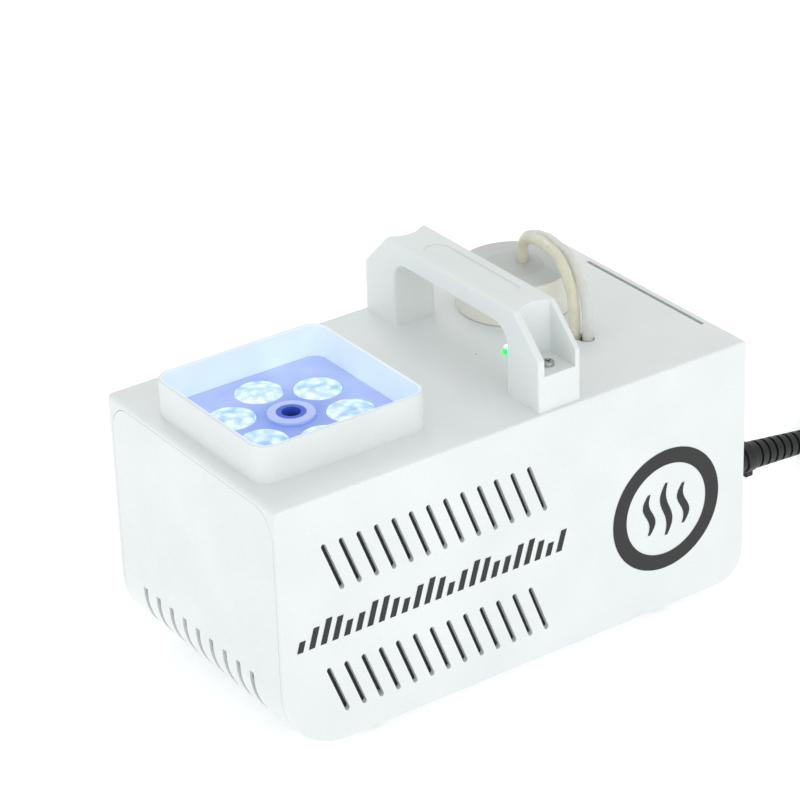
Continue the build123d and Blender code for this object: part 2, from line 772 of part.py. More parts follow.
def switch_rocker():
    # A rocker with a shallow V front, resting with its upper half pressed in.
    half = rocker_width / 2
    round_part = rod_y(rear_x, switch_y - half, switch_y + half, switch_z, rocker_radius)
    slope = math.tan(math.radians(rocker_tilt)) * rocker_radius
    front = 1.9
    outline = Polyline((-rocker_radius, -rocker_radius), (-rocker_radius, rocker_radius),
                       (front + slope, rocker_radius), (front, 0), (front + slope, -rocker_radius), close=True)
    block = extrude(Plane.XZ.offset(-switch_y) * Pos(rear_x, switch_z) * make_face(outline), half, both=True)
    body = round_part & block
    body += span(rear_x, rear_x + front, switch_y - half, switch_y + half, switch_z - 7.4, switch_z + 7.4) & block
    body += rod_y(rear_x, switch_y - half - 0.9, switch_y + half + 0.9, switch_z, trunnion_radius)
    turn = Pos(rear_x, 0, switch_z) * Rot(0, -rocker_tilt, 0) * Pos(-rear_x, 0, -switch_z)
    return turn * body


def fuse_holder():
    body = rod_x(rear_x - fuse_depth, rear_x + 1, fuse_y, fuse_z, fuse_radius)
    flange = rod_x(rear_x, rear_x + 2.4, fuse_y, fuse_z, fuse_radius + 2.6)
    body += fillet(flange.edges().sort_by(Axis.X)[-1], 0.8)
    body -= rod_x(rear_x - fuse_depth + 2, rear_x + 3, fuse_y, fuse_z, carrier_radius + fit_gap)
    return body


def fuse_carrier():
    x0 = rear_x + 2.4 + part_gap
    knob = rod_x(x0, rear_x + rear_proud, fuse_y, fuse_z, knob_radius)
    knob = fillet(knob.edges().sort_by(Axis.X)[-1], 0.8)
    knob += rod_x(rear_x - fuse_depth + 4, x0, fuse_y, fuse_z, carrier_radius)
    knob -= span(rear_x + rear_proud - 1.6, rear_x + rear_proud + 1, fuse_y - 0.6, fuse_y + 0.6,
                 fuse_z - 5, fuse_z + 5)
    return knob - rod_x(rear_x - fuse_depth + 3, rear_x - 3, fuse_y, fuse_z, 2.7)


def fuse_cartridge():
    return rod_x(rear_x - fuse_depth + 5, rear_x - 3.5, fuse_y, fuse_z, 2.5)


def indicator_lamp():
    x = housing_mid + lamp_offset
    dome = post(x, lamp_y, top_z - 6, top_z + 1.0, lamp_radius - 0.05)
    dome += Pos(x, lamp_y, top_z + 1.0) * Sphere(lamp_radius - 0.05)
    return dome + post(x, lamp_y, top_z - top_wall - 1.2, top_z - top_wall - 0.1, lamp_radius + 0.6)


def cord_gland():
    # A square-backed bushing clamped in the rear panel, with a wedge under its collar.
    body = rod_x(rear_inner - 8, rear_x + 1, gland_y, gland_z, gland_hole)
    body += rod_x(rear_x, rear_x + gland_length, gland_y, gland_z, gland_radius - 1.0)
    collar = rod_x(rear_x + gland_length - 5, rear_x + gland_length, gland_y, gland_z, gland_radius)
    body += fillet(collar.edges().filter_by(GeomType.CIRCLE), 0.8)
    wedge = span(rear_x + gland_length - 4, rear_x + gland_length - 0.8, gland_y - 4, gland_y + 4,
                 gland_z - gland_radius - 1.6, gland_z)
    body += fillet(wedge.edges().filter_by(Axis.X), 1.2)
    return body + rod_x(rear_x, rear_x + 2.5, gland_y, gland_z, gland_radius + 0.6)


def relief_frame():
    # The sleeve's own frame: its X axis points out of the gland and slightly down.
    return Pos(rear_x + gland_length, gland_y, gland_z) * Rot(0, -relief_tilt, 0)


def strain_relief():
    # A tapered sleeve cut into ribs.
    outline = Polyline((-1.2, 0), (-1.2, relief_radius), (relief_length, relief_tip), (relief_length, 0), close=True)
    sleeve = revolve(make_face(outline), Axis.X)
    pitch = (relief_length - 3) / rib_count
    for index in range(rib_count):
        x = 3.2 + index * pitch
        radius = relief_radius + (relief_tip - relief_radius) * x / relief_length
        groove = Pos(x, 0, 0) * Rot(0, 90, 0) * (Cylinder(radius + 1, 1.3) - Cylinder(radius - 0.8, 1.3))
        sleeve -= groove
    sleeve -= rod_x(relief_length - socket_depth, relief_length + 1, 0, 0, cord_radius + fit_gap)
    sleeve = relief_frame() * sleeve
    return sleeve - rod_x(rear_x, rear_x + gland_length, gland_y, gland_z, 20)


def cord_route():
    # Out of the sleeve, down under its weight, and round on to the coil.
    start = relief_frame() * Pos(relief_length - socket_depth, 0, 0)
    first = relief_frame() * Pos(relief_length - socket_depth + cord_first_run, 0, 0)
    cx, cy = coil_centre
    return [tuple(start.position), tuple(first.position), (224, gland_y - 1.5, 38.5),
            (cx - 5, cy - 43, 15.5), (cx + 21, cy - 38.5, 11)]


def tail_route():
    # From the coil's outer turn out to the plug.
    cx, cy = coil_centre
    px, py, pz = plug_origin()
    return [(cx + 9, cy - 42, cord_radius), (cx + 32, cy - 33, cord_radius), (cx + 49, cy - 17, cord_radius + 3),
            (px - 1, py - 16, pz - 3), (px, py + socket_depth, pz)]


def plug_origin():
    # Where the lead enters the plug's sleeve.
    return coil_centre[0] + 59.5, coil_centre[1] + 21.0, plug_radius


def cord_tube(points):
    path = FilletPolyline(*points, radius=arc_radii(points))
    start = Plane(origin=path @ 0, z_dir=path % 0)
    tube = sweep(start * Circle(cord_radius), path=path)
    share = tube.volume / (math.pi * cord_radius ** 2 * path.length)
    print("cord length", round(path.length, 1), "bends", [round(r, 1) for r in arc_radii(points)],
          "volume over section times length", round(share, 4))
    return tube


def cord_coil():
    cx, cy = coil_centre
    middle = (coil_inner + coil_outer) / 2
    section = Pos(middle, coil_thick / 2) * cornered(coil_outer - coil_inner, coil_thick, *[5.0] * 4)
    return Pos(cx, cy, 0) * revolve(Plane.XZ * section, Axis.Z)


def plug_body():
    # A round moulded plug lying on its side, its pins pointing along +Y.
    x, y, z = plug_origin()
    outline = Polyline((0, 0), (5.2, 0), (6.2, 20), (13.0, 24), (plug_radius, plug_sleeve),
                       (plug_radius, plug_sleeve + plug_length), (0, plug_sleeve + plug_length), close=True)
    body = revolve(make_face(outline), Axis.Y)
    body = fillet(body.edges().filter_by(GeomType.CIRCLE).sort_by(Axis.Y)[-1], 1.2)
    body = Pos(x, y, z) * body
    return body - rod_y(x, y - 1, y + socket_depth, z, cord_radius + fit_gap)


def plug_pins():
    x, y, z = plug_origin()
    face = y + plug_sleeve + plug_length
    pins = []
    for side in (-1, 1):
        place = x + side * plug_pin_spacing / 2
        pin = rod_y(place, face, face + plug_pin_length, z, plug_pin_radius)
        pins.append(fillet(pin.edges().sort_by(Axis.Y)[-1], 1.5))
    return group(pins)


def build():
    write("cover", cover())
    write("chassis", chassis())
    write("feet", group([foot(x, y) for x, y in foot_places()]))
    write("cover_screws", group([pan_screw(x, y, base_z, -1, 9.0) for x, y in boss_places()]))
    write("vent_screens", group([vent_screen(-1), vent_screen(1), end_baffle()]))
    write("handle", handle())
    seat = top_z + pocket_floor
    write("handle_screws", group([pan_screw(handle_x, side * screw_y, seat, 1, pocket_floor + 6)
                                  for side in (-1, 1)]))
    write("led_collar", led_collar())
    write("led_plate", led_plate())
    for index, (x, y) in enumerate(lens_places()):
        write(f"lens_{index + 1}", lens(x, y))
    write("led_board", led_board())
    chip_top = board_top + chip_height
    write("led_chips", group([post(x, y, board_top, chip_top, chip_radius) for x, y in lens_places()]))
    write("led_standoffs", group([post(x, y, board_top, top_z, 2.2) for x, y in standoff_places()]))
    write("nozzle_ring", nozzle_ring())
    write("nozzle", nozzle())
    write("heater_block", heater_block())
    write("heater_element", heater_element())
    write("heater_insulation", heater_insulation())
    write("heater_bracket", heater_bracket())
    write("heater_inlet", heater_inlet())
    write("thermostat", thermostat())
    write("thermal_fuse", thermal_fuse())
    write("pump_coil", pump_coil())
    write("pump_core", pump_core())
    write("pump_yoke", pump_yoke())
    write("pump_piston", pump_piston())
    write("pump_spring", pump_spring())
    write("pump_head", pump_head())
    write("pump_bracket", pump_bracket())
    write("tank", tank())
    write("tank_strap", tank_strap())
    write("tank_cap", tank_cap())
    write("cap_insert", cap_insert())
    write("cap_liner", cap_liner())
    for name, route in (("feed_hose", feed_route()), ("return_hose", return_route()),
                        ("heater_hose", heater_hose_route())):
        write(name, hose(route, arc_radii(route)))
    write("tank_filter", tank_filter())
    write("control_board", control_board())
    write("board_parts", board_parts())
    write("board_standoffs", board_standoffs())
    write("led_driver", led_driver())
    write("switch_body", switch_body())
    write("switch_rocker", switch_rocker())
    write("fuse_holder", fuse_holder())
    write("fuse_carrier", fuse_carrier())
    write("fuse_cartridge", fuse_cartridge())
    write("indicator_lamp", indicator_lamp())
    write("cord_gland", cord_gland())
    write("strain_relief", strain_relief())
    write("power_cord", cord_tube(cord_route()))
    write("cord_tail", cord_tube(tail_route()))
    write("cord_coil", cord_coil())
    write("plug_body", plug_body())
    write("plug_pins", plug_pins())


os.makedirs("parts", exist_ok=True)
build()
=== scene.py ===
import bpy
import math
import numpy as np
from mathutils import Matrix, Vector


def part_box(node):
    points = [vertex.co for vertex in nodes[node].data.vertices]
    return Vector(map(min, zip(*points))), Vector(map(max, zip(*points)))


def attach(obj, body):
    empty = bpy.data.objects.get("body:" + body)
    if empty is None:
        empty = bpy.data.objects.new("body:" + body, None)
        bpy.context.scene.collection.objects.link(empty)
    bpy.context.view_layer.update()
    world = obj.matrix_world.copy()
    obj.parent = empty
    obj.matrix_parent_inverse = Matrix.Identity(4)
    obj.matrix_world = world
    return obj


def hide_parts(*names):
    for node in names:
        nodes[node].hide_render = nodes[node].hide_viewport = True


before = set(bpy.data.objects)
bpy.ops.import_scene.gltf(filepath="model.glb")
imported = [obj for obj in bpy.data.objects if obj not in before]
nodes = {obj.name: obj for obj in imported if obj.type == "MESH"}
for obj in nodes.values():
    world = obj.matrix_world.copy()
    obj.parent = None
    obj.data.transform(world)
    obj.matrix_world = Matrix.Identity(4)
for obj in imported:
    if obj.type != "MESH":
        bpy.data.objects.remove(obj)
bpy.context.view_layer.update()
print("frame loaded:", len(nodes), "nodes")


def linearColor(hexText, alpha=1.0):
    # sRGB hex to linear: each channel through the usual curve
    parts = [int(hexText[i:i + 2], 16) / 255 for i in (1, 3, 5)]
    return tuple(c / 12.92 if c <= 0.04045 else ((c + 0.055) / 1.055) ** 2.4 for c in parts) + (alpha,)


def addNode(tree, kind, inputs=None, **settings):
    # one node with its settings and its inputs; an input takes a value, or another node's output to link
    node = tree.nodes.new(kind)
    for key, value in settings.items():
        setattr(node, key, value)
    for key, value in (inputs or {}).items():
        if isinstance(value, bpy.types.NodeSocket):
            tree.links.new(value, node.inputs[key])
        else:
            node.inputs[key].default_value = value
    return node


def blankMaterial(name):
    made = bpy.data.materials.new(name)
    made.use_nodes = True
    tree = made.node_tree
    tree.nodes.clear()
    shader = addNode(tree, "ShaderNodeBsdfPrincipled")
    addNode(tree, "ShaderNodeOutputMaterial", {"Surface": shader.outputs["BSDF"]})
    return made, tree, shader


def dress(names, made):
    for name in names:
        mesh = nodes[name].data
        mesh.materials.clear()
        mesh.materials.append(made)


def finishPiece(piece, body):
    bpy.context.scene.collection.objects.link(piece)
    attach(piece, body)
    return piece


def meshPiece(name, points, faces, made, body, smooth=True):
    # a new piece at the origin, with its place in its vertices
    mesh = bpy.data.meshes.new(name)
    mesh.from_pydata([tuple(p) for p in points], [], [tuple(f) for f in faces])
    mesh.materials.append(made)
    mesh.polygons.foreach_set("use_smooth", np.full(len(mesh.polygons), smooth))
    mesh.update()
    return finishPiece(bpy.data.objects.new(name, mesh), body)


cameraSettings = {"place": (-0.7055, -1.0109, 0.7533), "yaw": 34.135, "pitch": -27.772, "roll": -1.9657,
                  "lens": 145.296, "sensor": 36, "nearest": 0.05}


def placeCamera(s):
    # forward from yaw (turned from +Y towards +X) and pitch, then the roll about it
    yaw, pitch, roll = (math.radians(s[k]) for k in ("yaw", "pitch", "roll"))
    forward = Vector((math.cos(pitch) * math.sin(yaw), math.cos(pitch) * math.cos(yaw), math.sin(pitch)))
    flatRight = Vector((math.cos(yaw), -math.sin(yaw), 0))
    flatUp = flatRight.cross(forward)
    right = math.cos(roll) * flatRight + math.sin(roll) * flatUp
    up = -math.sin(roll) * flatRight + math.cos(roll) * flatUp
    data = bpy.data.cameras.new("mainCamera")
    data.lens = s["lens"]
    data.sensor_width = s["sensor"]
    data.clip_start = s["nearest"]
    camera = bpy.data.objects.new("mainCamera", data)
    columns = Matrix((right, up, -forward)).transposed()
    camera.matrix_world = Matrix.Translation(s["place"]) @ columns.to_4x4()
    bpy.context.scene.collection.objects.link(camera)
    bpy.context.scene.camera = camera


placeCamera(cameraSettings)
bpy.context.scene.view_settings.view_transform = "Standard"

floorSettings = {"half": 6.0, "color": "#f4f5f5", "glow": 0.33, "rough": 0.8, "specular": 0.1}
lightSettings = [
    {"name": "frontSoft", "place": (-0.15, -1.7, 0.55), "aim": (0.0, 0.0, 0.07), "size": 1.3, "power": 6.0,
     "color": "#f6fbff"},
    {"name": "endSoft", "place": (-1.6, 0.1, 0.5), "aim": (0.0, 0.0, 0.07), "size": 0.9, "power": 2.4,
     "color": "#eef4ff"},
    {"name": "topStrip", "place": (0.3, 0.9, 1.3), "aim": (0.0, 0.0, 0.1), "size": 0.5, "power": 2.1,
     "color": "#ffffff"},
]
worldSettings = {"color": "#f2f5f4", "strength": 0.86}


def layFloor(s):
    # matt white studio floor, evenly lit
    made, tree, shader = blankMaterial("paintedStudioFloor")
    shader.inputs["Base Color"].default_value = linearColor(s["color"])
    shader.inputs["Roughness"].default_value = s["rough"]
    shader.inputs["Specular IOR Level"].default_value = s["specular"]
    shader.inputs["Emission Color"].default_value = (1, 1, 1, 1)
    shader.inputs["Emission Strength"].default_value = s["glow"]
    h = s["half"]
    mesh = bpy.data.meshes.new("studioFloor")
    mesh.from_pydata([(-h, -h, 0), (h, -h, 0), (h, h, 0), (-h, h, 0)], [], [(0, 1, 2, 3)])
    mesh.materials.append(made)
    floor = bpy.data.objects.new("studioFloor", mesh)
    bpy.context.scene.collection.objects.link(floor)


def hangLight(s):
    data = bpy.data.lights.new(s["name"], "AREA")
    data.shape = "SQUARE"
    data.size = s["size"]
    data.energy = s["power"]
    data.color = linearColor(s["color"])[:3]
    lamp = bpy.data.objects.new(s["name"], data)
    lamp.location = s["place"]
    lamp.rotation_euler = (Vector(s["aim"]) - Vector(s["place"])).to_track_quat("-Z", "Y").to_euler()
    bpy.context.scene.collection.objects.link(lamp)


layFloor(floorSettings)
for lightEntry in lightSettings:
    hangLight(lightEntry)
world = bpy.data.worlds.new("softRoom")
world.use_nodes = True
world.node_tree.nodes["Background"].inputs["Color"].default_value = linearColor(worldSettings["color"])
world.node_tree.nodes["Background"].inputs["Strength"].default_value = worldSettings["strength"]
bpy.context.scene.world = world
print("camera, floor and light placed")


def surface(name, low, high, grainMm, rough, bump=0.1, bumpMm=0.05, roughSpread=0.08, stretch=(1, 1, 1),
            metal=0.0, patchMm=35.0):
    # two shades mixed by a fine grain and a broad uneven patching; the grain also moves roughness and height
    made, tree, shader = blankMaterial(name)
    place = addNode(tree, "ShaderNodeTexCoord").outputs["Object"]
    spread = addNode(tree, "ShaderNodeMapping", {"Scale": stretch, "Vector": place}).outputs["Vector"]
    fine = addNode(tree, "ShaderNodeTexNoise", {"Scale": 1000.0 / grainMm, "Detail": 3.0, "Roughness": 0.6,
                                                "Vector": spread}).outputs["Fac"]
    broad = addNode(tree, "ShaderNodeTexNoise", {"Scale": 1000.0 / patchMm, "Detail": 2.0,
                                                 "Vector": place}).outputs["Fac"]
    # the mean of the two
    total = addNode(tree, "ShaderNodeMath", {0: broad, 1: 0.5}, operation="MULTIPLY").outputs["Value"]
    total = addNode(tree, "ShaderNodeMath", {0: fine, 1: 0.5, 2: total},
                    operation="MULTIPLY_ADD").outputs["Value"]
    tone = addNode(tree, "ShaderNodeValToRGB", {"Fac": total})
    for element, position, shade in zip(tone.color_ramp.elements, (0.35, 0.65), (low, high)):
        element.position = position
        element.color = linearColor(shade)
    wear = addNode(tree, "ShaderNodeMapRange", {"To Min": rough - roughSpread, "To Max": rough + roughSpread,
                                                "Value": total})
    relief = addNode(tree, "ShaderNodeBump", {"Strength": bump, "Distance": bumpMm / 1000, "Height": fine})
    tree.links.new(tone.outputs["Color"], shader.inputs["Base Color"])
    tree.links.new(wear.outputs["Result"], shader.inputs["Roughness"])
    tree.links.new(relief.outputs["Normal"], shader.inputs["Normal"])
    shader.inputs["Metallic"].default_value = metal
    return made, tree, shader, tone.outputs["Color"], place


def stepAt(tree, place, axis, low, high):
    # nought below low, one above high, along one of the object's axes
    split = addNode(tree, "ShaderNodeSeparateXYZ", {"Vector": place}).outputs[axis]
    return addNode(tree, "ShaderNodeMapRange", {"From Min": low, "From Max": high,
                                                "Value": split}).outputs["Result"]


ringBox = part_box("led_plate")
ringX, ringY = [(ringBox[0][i] + ringBox[1][i]) / 2 for i in (0, 1)]
plateZ = ringBox[1][2]
paintSettings = {"low": "#e4e7e7", "high": "#eceeee", "grainMm": 1.1}
collarSettings = {"name": "litCollarPaint", "low": "#e6eaf4", "high": "#f4fdfc", "color": "#d4efff",
                  "glow": 0.2}
plateSettings = {"name": "litPlatePaint", "low": "#5f86dc", "high": "#cdd6fa", "color": "#6a93ff",
                 "glow": 0.13}
litSettings = {"rough": 0.40, "fadeHeight": 0.020, "rimShare": 0.25, "corner": 0.0085, "wall": 0.0018,
               "near": 0.008, "far": 0.040, "cloudsPerMetre": 38.0, "cloudFrom": 0.3, "cloudTo": 0.7,
               "dimmest": 0.6, "brightest": 1.15, "cloudShare": 0.5, "spreadShare": 0.6}


def litSteel(finish, s):
    # the same paint in the light well, washed by blue-white lamps: strongest at the plate, weak at the rim
    made, tree, shader, tone, place = surface(finish["name"], rough=s["rough"], **paintSettings)
    split = addNode(tree, "ShaderNodeSeparateXYZ", {"Vector": place}).outputs
    fade = addNode(tree, "ShaderNodeMapRange",
                   {"From Min": plateZ, "From Max": plateZ + s["fadeHeight"], "To Min": 1.0,
                    "To Max": s["rimShare"], "Value": split["Z"]}).outputs["Result"]
    # inside: the distance from the collar's rounded outline, measured to the middle of its wall
    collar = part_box("led_collar")
    straight = (collar[1][0] - collar[0][0]) / 2 - s["corner"]
    squares = []
    for axis, middle in (("X", ringX), ("Y", ringY)):
        # how far past the straight part of the side, never below nought, squared
        away = split[axis]
        for operation, value in (("SUBTRACT", middle), ("ABSOLUTE", 0.0), ("SUBTRACT", straight),
                                 ("MAXIMUM", 0.0), ("POWER", 2.0)):
            away = addNode(tree, "ShaderNodeMath", {0: away, 1: value}, operation=operation).outputs["Value"]
        squares.append(away)
    outline = addNode(tree, "ShaderNodeMath", dict(enumerate(squares)), operation="ADD").outputs["Value"]
    outline = addNode(tree, "ShaderNodeMath", {0: outline, 1: 0.5}, operation="POWER").outputs["Value"]
    inside = addNode(tree, "ShaderNodeMath", {0: outline, 1: s["corner"] - s["wall"] / 2},
                     operation="LESS_THAN").outputs["Value"]
    cloud = addNode(tree, "ShaderNodeTexNoise", {"Scale": s["cloudsPerMetre"], "Detail": 2.0,
                                                 "Vector": place}).outputs["Fac"]
    uneven = addNode(tree, "ShaderNodeMapRange",
                     {"From Min": s["cloudFrom"], "From Max": s["cloudTo"], "To Min": s["dimmest"],
                      "To Max": s["brightest"], "Value": cloud}).outputs["Result"]
    power = fade
    for factor in (inside, uneven, finish["glow"]):
        power = addNode(tree, "ShaderNodeMath", {0: power, 1: factor}, operation="MULTIPLY").outputs["Value"]
    # deeper towards the outlet, paler towards the walls
    radial = addNode(tree, "ShaderNodeVectorMath", {0: place, 1: (ringX, ringY, plateZ)},
                     operation="DISTANCE").outputs["Value"]
    spread = addNode(tree, "ShaderNodeMapRange", {"From Min": s["near"], "From Max": s["far"],
                                                  "Value": radial}).outputs["Result"]
    shade = addNode(tree, "ShaderNodeMath", {0: cloud, 1: s["cloudShare"]},
                    operation="MULTIPLY").outputs["Value"]
    shade = addNode(tree, "ShaderNodeMath", {0: spread, 1: s["spreadShare"], 2: shade},
                    operation="MULTIPLY_ADD", use_clamp=True).outputs["Value"]
    wash = addNode(tree, "ShaderNodeMix",
                   {0: shade, 6: linearColor(finish["low"]), 7: linearColor(finish["high"])},
                   data_type="RGBA").outputs[2]
    washed = addNode(tree, "ShaderNodeMix", {0: inside, 6: tone, 7: wash}, data_type="RGBA").outputs[2]
    tree.links.new(washed, shader.inputs["Base Color"])
    shader.inputs["Emission Color"].default_value = linearColor(finish["color"])
    tree.links.new(power, shader.inputs["Emission Strength"])
    return made


lensSettings = {"core": "#f5fefd", "rim": "#8fbdfb", "bodyLow": "#8fa6c4", "bodyHigh": "#4f6c9c",
                "strength": 0.8, "patchMm": 4.6, "swirl": 0.006, "swirlsPerMetre": 190.0,
                "grainsPerMetre": 260.0, "grainShare": 0.35, "coreEnd": 0.30, "rimStart": 0.85,
                "rough": 0.12, "coat": 0.4, "bump": 0.3, "bumpMm": 0.4}


def litLens(s):
    # clear acrylic over a burning diode: mottled white-hot patches, pale blue between them, bluer at the edge
    made, tree, shader = blankMaterial("litAcrylicLens")
    place = addNode(tree, "ShaderNodeTexCoord").outputs["Object"]
    swirl = addNode(tree, "ShaderNodeTexNoise", {"Scale": s["swirlsPerMetre"], "Detail": 4.0,
                                                 "Vector": place}).outputs["Color"]
    warped = addNode(tree, "ShaderNodeVectorMath", {0: swirl, 1: (s["swirl"],) * 3, 2: place},
                     operation="MULTIPLY_ADD").outputs["Vector"]
    cells = addNode(tree, "ShaderNodeTexVoronoi", {"Scale": 1000.0 / s["patchMm"], "Randomness": 0.9,
                                                   "Vector": warped}, feature="SMOOTH_F1").outputs["Distance"]
    grain = addNode(tree, "ShaderNodeTexNoise", {"Scale": s["grainsPerMetre"], "Detail": 3.0,
                                                 "Vector": place}).outputs["Fac"]
    mottle = addNode(tree, "ShaderNodeMath", {0: grain, 1: s["grainShare"], 2: cells},
                     operation="MULTIPLY_ADD").outputs["Value"]
    tone = addNode(tree, "ShaderNodeValToRGB", {"Fac": mottle})
    ends = zip(tone.color_ramp.elements, (s["coreEnd"], s["rimStart"]), (s["core"], s["rim"]))
    for element, position, shade in ends:
        element.position = position
        element.color = linearColor(shade)
    body = addNode(tree, "ShaderNodeMix",
                   {0: mottle, 6: linearColor(s["bodyLow"]), 7: linearColor(s["bodyHigh"])}, data_type="RGBA")
    tree.links.new(body.outputs[2], shader.inputs["Base Color"])
    tree.links.new(tone.outputs["Color"], shader.inputs["Emission Color"])
    shader.inputs["Emission Strength"].default_value = s["strength"]
    shader.inputs["Roughness"].default_value = s["rough"]
    shader.inputs["Coat Weight"].default_value = s["coat"]
    relief = addNode(tree, "ShaderNodeBump", {"Strength": s["bump"], "Distance": s["bumpMm"] / 1000,
                                              "Height": cells})
    tree.links.new(relief.outputs["Normal"], shader.inputs["Normal"])
    return made


# the bore colour is painted shade; the lip colour and the boss's tint and glow are painted lamp light
outletSettings = {"lip": 0.0062, "lipEdge": 0.0006, "boreDepth": 0.005, "boreTop": 0.0008, "glow": 0.12,
                  "bore": "#05060a", "paintedLipLight": "#2f52c8", "light": "#5f7df0"}


def outletPlastic(s):
    # pale boss lit lilac from the lamps round it, that light painted in as tint and glow; its inner lip is
    # painted deep blue for the lamp light, and the bore is painted black as shade, falling away to black with
    # depth
    made, tree, shader, tone, place = surface("litOutletRing", "#b3c0f2", "#c9d3fa", 1.5, 0.35, bump=0.08)
    split = addNode(tree, "ShaderNodeSeparateXYZ", {"Vector": place}).outputs
    across = addNode(tree, "ShaderNodeCombineXYZ", {"X": split["X"], "Y": split["Y"]}).outputs["Vector"]
    away = addNode(tree, "ShaderNodeVectorMath", {0: across, 1: (ringX, ringY, 0.0)},
                   operation="DISTANCE").outputs["Value"]
    lip = addNode(tree, "ShaderNodeMapRange", {"From Min": s["lip"], "From Max": s["lip"] + s["lipEdge"],
                                               "Value": away}).outputs["Result"]
    # painted shade in the bore below the plate, painted lamp light on the lip above it
    depth = stepAt(tree, place, "Z", plateZ - s["boreDepth"], plateZ + s["boreTop"])
    inner = addNode(tree, "ShaderNodeMix",
                    {0: depth, 6: linearColor(s["bore"]), 7: linearColor(s["paintedLipLight"])},
                    data_type="RGBA").outputs[2]
    color = addNode(tree, "ShaderNodeMix", {0: lip, 6: inner, 7: tone}, data_type="RGBA").outputs[2]
    tree.links.new(color, shader.inputs["Base Color"])
    power = addNode(tree, "ShaderNodeMath", {0: depth, 1: s["glow"]}, operation="MULTIPLY").outputs["Value"]
    shader.inputs["Emission Color"].default_value = linearColor(s["light"])
    tree.links.new(power, shader.inputs["Emission Strength"])
    return made


# the grey of the cap's top is painted shade, not a second colour of plastic
capSettings = {"top": "#caccca", "topFrom": 0.0004, "topTo": 0.0002}


def capPlastic(s):
    # moulded polyethylene cap, cream; its flat top is painted grey as shade from how the light falls on it
    made, tree, shader, tone, place = surface("capWithPaintedTopShade", "#eeebe2", "#f6f3ea", 0.9, 0.45, 0.12, 0.06)
    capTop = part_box("tank_cap")[1][2]
    # painted shade: the flat top turned grey
    top = stepAt(tree, place, "Z", capTop - s["topFrom"], capTop - s["topTo"])
    color = addNode(tree, "ShaderNodeMix", {0: top, 6: tone, 7: linearColor(s["top"])}, data_type="RGBA")
    tree.links.new(color.outputs[2], shader.inputs["Base Color"])
    return made


hoseSettings = {"alpha": 0.74, "ior": 1.41, "subsurface": 0.35, "subsurfaceRadius": (0.004, 0.0035, 0.003),
                "coat": 0.3}


def siliconeHose(name, low, high, s):
    # translucent silicone: milky yellow where thick, light passing through and a soft long highlight
    made, _, shader, _, _ = surface(name, low, high, 2.5, 0.22, bump=0.05, roughSpread=0.05, patchMm=12.0)
    shader.inputs["Alpha"].default_value = s["alpha"]
    shader.inputs["IOR"].default_value = s["ior"]
    shader.inputs["Subsurface Weight"].default_value = s["subsurface"]
    shader.inputs["Subsurface Radius"].default_value = s["subsurfaceRadius"]
    shader.inputs["Coat Weight"].default_value = s["coat"]
    return made


# the near black of the gaps between the wires is painted shade
# a wave scale of 420 gives one wire every 0.75 mm
meshSettings = {"waveScale": 420.0, "hole": "#050606", "baffleHalf": 0.055, "baffle": "#f4f7f7"}


def screenMesh(s):
    # woven black wire behind the side vents, its black standing in for the shade inside the housing, with the
    # gaps of the weave painted near black as shade; the baffle at the light-ring end is painted white
    made, tree, shader, tone, place = surface("ventMeshBlackForShade", "#0b0c0c", "#17191a", 0.7, 0.55, 0.2, 0.1)
    wires = [addNode(tree, "ShaderNodeTexWave", {"Scale": s["waveScale"], "Vector": place},
                     bands_direction=direction).outputs["Fac"] for direction in "XZ"]
    weave = addNode(tree, "ShaderNodeMath", dict(enumerate(wires)), operation="MAXIMUM").outputs["Value"]
    # painted shade: the gaps between the wires near black
    wire = addNode(tree, "ShaderNodeMix", {0: weave, 6: linearColor(s["hole"]), 7: tone},
                   data_type="RGBA").outputs[2]
    across = addNode(tree, "ShaderNodeSeparateXYZ", {"Vector": place}).outputs["Y"]
    across = addNode(tree, "ShaderNodeMath", {0: across}, operation="ABSOLUTE").outputs["Value"]
    baffle = addNode(tree, "ShaderNodeMath", {0: across, 1: s["baffleHalf"]},
                     operation="LESS_THAN").outputs["Value"]
    color = addNode(tree, "ShaderNodeMix", {0: baffle, 6: wire, 7: linearColor(s["baffle"])},
                    data_type="RGBA")
    tree.links.new(color.outputs[2], shader.inputs["Base Color"])
    return made


lampSettings = {"rim": "#18d060", "core": "#dfffea", "coreDepth": 0.0016, "strength": 1.3}


def lampGreen(s):
    # small lit dome: whitish core, saturated green towards its rim
    made, tree, shader, _, place = surface("litGreenLamp", "#19c85a", "#35e884", 1.2, 0.15, bump=0.05)
    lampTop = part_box("indicator_lamp")[1][2]
    core = stepAt(tree, place, "Z", lampTop - s["coreDepth"], lampTop)
    color = addNode(tree, "ShaderNodeMix", {0: core, 6: linearColor(s["rim"]), 7: linearColor(s["core"])},
                    data_type="RGBA").outputs[2]
    tree.links.new(color, shader.inputs["Base Color"])
    tree.links.new(color, shader.inputs["Emission Color"])
    shader.inputs["Emission Strength"].default_value = s["strength"]
    return made


def glassTube(transmission):
    # thin clear tube of a fuse, nearly smooth
    made, _, shader, _, _ = surface("fuseGlass", "#c9d0d0", "#e6ecec", 0.8, 0.08, 0.04, 0.03, 0.03)
    shader.inputs["Transmission Weight"].default_value = transmission
    return made


dress(["led_collar"], litSteel(collarSettings, litSettings))
dress(["led_plate"], litSteel(plateSettings, litSettings))
dress([f"lens_{index}" for index in range(1, 7)], litLens(lensSettings))
dress(["nozzle_ring"], outletPlastic(outletSettings))
dress(["tank_cap"], capPlastic(capSettings))
dress(["feed_hose", "heater_hose"], siliconeHose("siliconeCream", "#eee8cf", "#f8f5e6", hoseSettings))
dress(["return_hose"], siliconeHose("siliconeClear", "#e8e7df", "#f5f5f0", hoseSettings))
dress(["vent_screens"], screenMesh(meshSettings))
dress(["indicator_lamp"], lampGreen(lampSettings))
dress(["fuse_cartridge"], glassTube(transmission=0.6))

